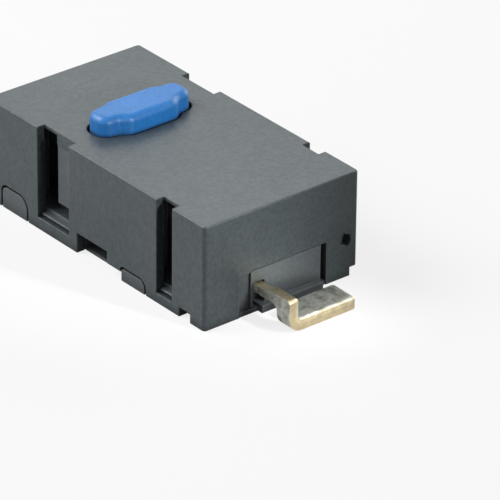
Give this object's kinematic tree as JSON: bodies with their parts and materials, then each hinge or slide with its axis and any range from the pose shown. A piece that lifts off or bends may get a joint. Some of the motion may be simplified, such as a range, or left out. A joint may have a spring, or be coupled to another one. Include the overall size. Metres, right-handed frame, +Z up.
{
  "type": "micro switch",
  "caption": "Low surface-mount micro switch with a cross-bar plunger, a latched two-part plastic housing and a bent solder foot at each end.",
  "frame": {"origin": "centre of the footprint on the underside, where the base and the solder feet meet the board", "axes": "+X along the long side towards the make terminal, +Z up, out of the plunger"},
  "size_m": [0.0142, 0.006, 0.0041],
  "materials": {
    "housing": "matte moulded, dark grey",
    "base_moulding": "matte moulded, dark grey",
    "plunger": "satin moulded, blue",
    "terminal": "tin-plated sheet with bare cut edges",
    "spring": "thin rolled copper alloy",
    "contact": "silver alloy"
  },
  "bodies": {
    "housing": {"cover": "housing", "base": "base_moulding", "make_terminal": "terminal", "common_terminal": "terminal", "fixed_contact": "contact"},
    "plunger": {"plunger": "plunger"},
    "contact_arm": {"snap_spring": "spring", "moving_contact": "contact"}
  },
  "joints": [
    {"name": "plunger_press", "type": "slide", "parent": "housing", "child": "plunger", "axis": [0, 0, -1], "range_m": [0, 0.00025], "stiffness_N_per_m": 1500, "springref_m": -0.0002},
    {"name": "arm_swing", "type": "hinge", "parent": "housing", "child": "contact_arm", "pos_m": [-0.004, 0, 0.00235], "axis": [0, 1, 0], "range_deg": [0, 5.6], "deforming": ["snap_spring"]}
  ],
  "couplings": [
    {"joint": "arm_swing", "follows": "plunger_press", "rad_per_m": 390.62}
  ]
}
